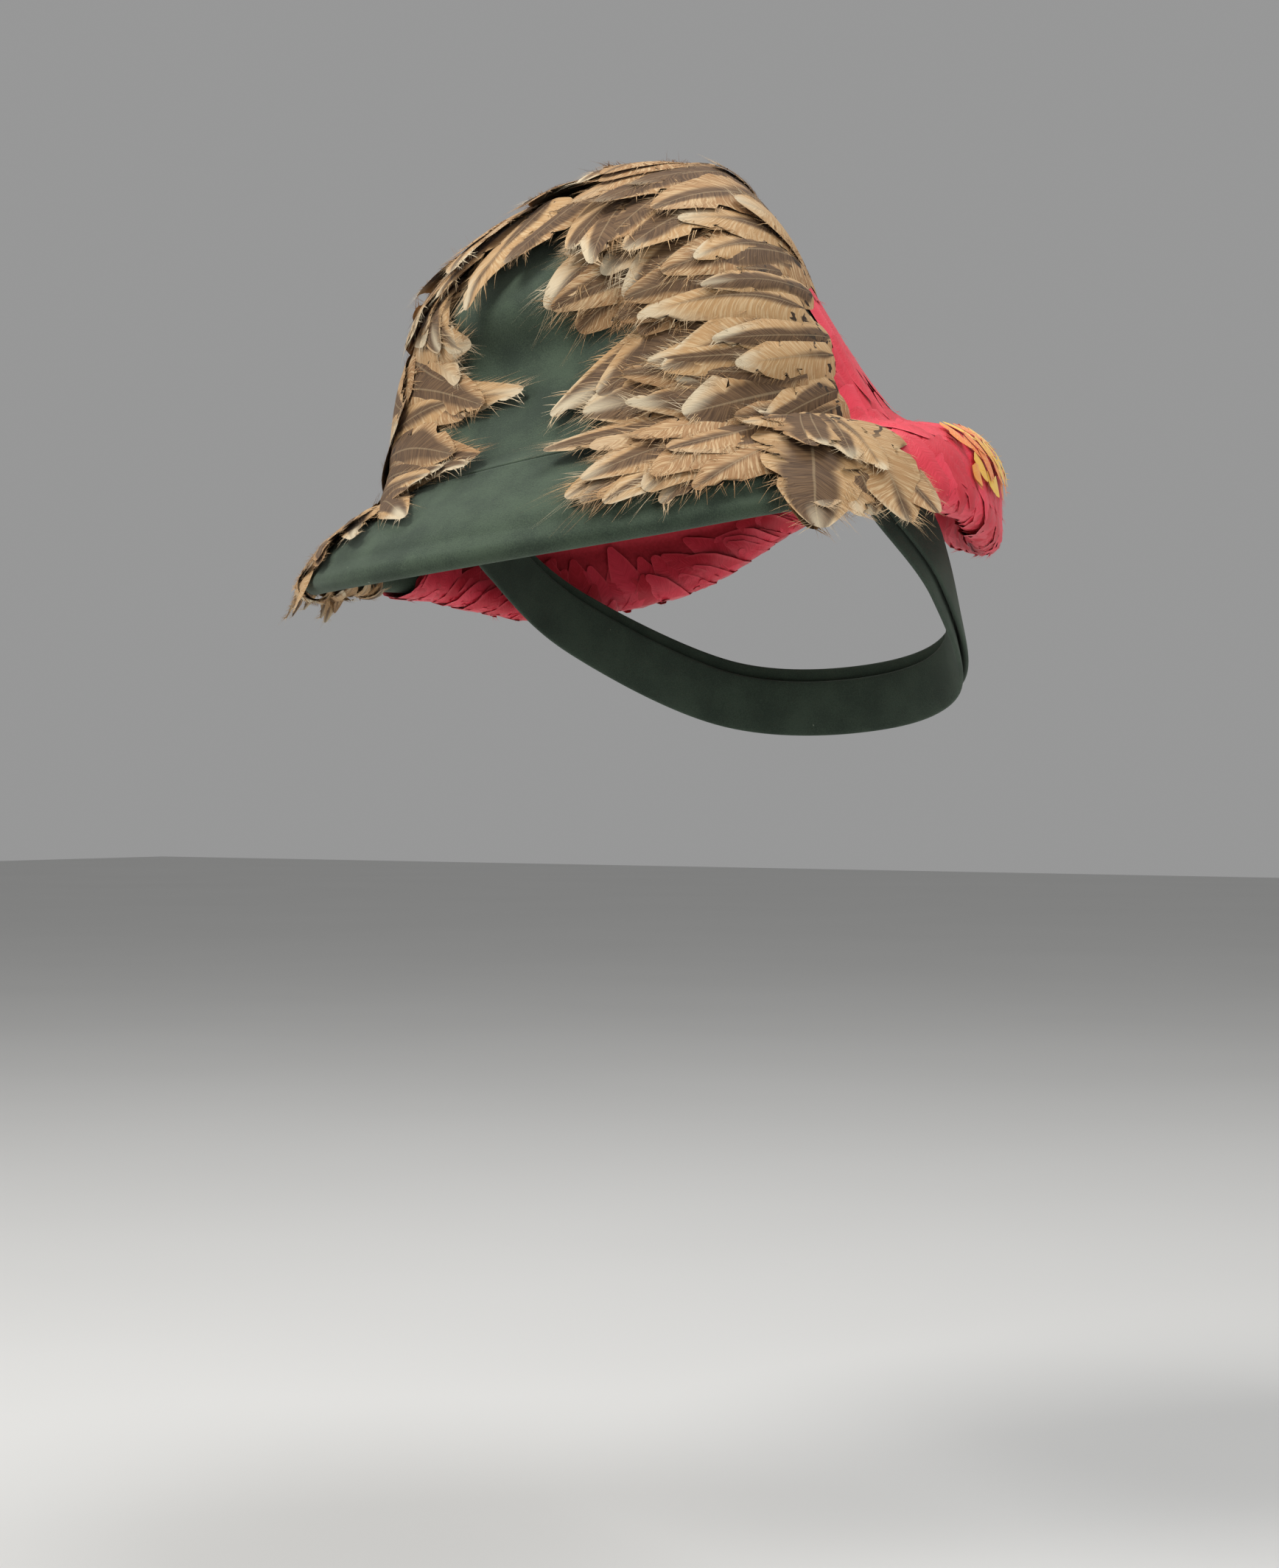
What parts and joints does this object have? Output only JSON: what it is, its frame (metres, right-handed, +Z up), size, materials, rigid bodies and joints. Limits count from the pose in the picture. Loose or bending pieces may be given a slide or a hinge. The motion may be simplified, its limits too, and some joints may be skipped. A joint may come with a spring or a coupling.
{
  "type": "tilt hat",
  "caption": "Green felt tilt hat with a domed crown, a downturned brim with raised side wings, brown and red feather coverings, yellow tufts and a felt strap behind the head.",
  "frame": {"origin": "the top of the crown's inside, where the hat sits on the head, with the hat tilted as worn", "axes": "+Z up as worn, -Y the wearer's front, +X the wearer's left"},
  "size_m": [0.2012, 0.2347, 0.1655],
  "materials": {
    "felt": "matte brushed wool felt, dark grey green",
    "strap_felt": "matte wool felt, darker green",
    "brown_feather": "soft sheen, tan and cream vanes with dark brown centres",
    "red_feather": "soft sheen, coral red with deeper red below",
    "yellow_feather": "soft sheen, yellow orange"
  },
  "bodies": {
    "root": {"crown": "felt", "brim": "felt", "brown_feathers": "brown_feather", "red_feathers": "red_feather", "yellow_tuft_left": "yellow_feather", "yellow_tuft_right": "yellow_feather", "strap_outer": "strap_felt", "strap_inner": "strap_felt"}
  },
  "joints": []
}
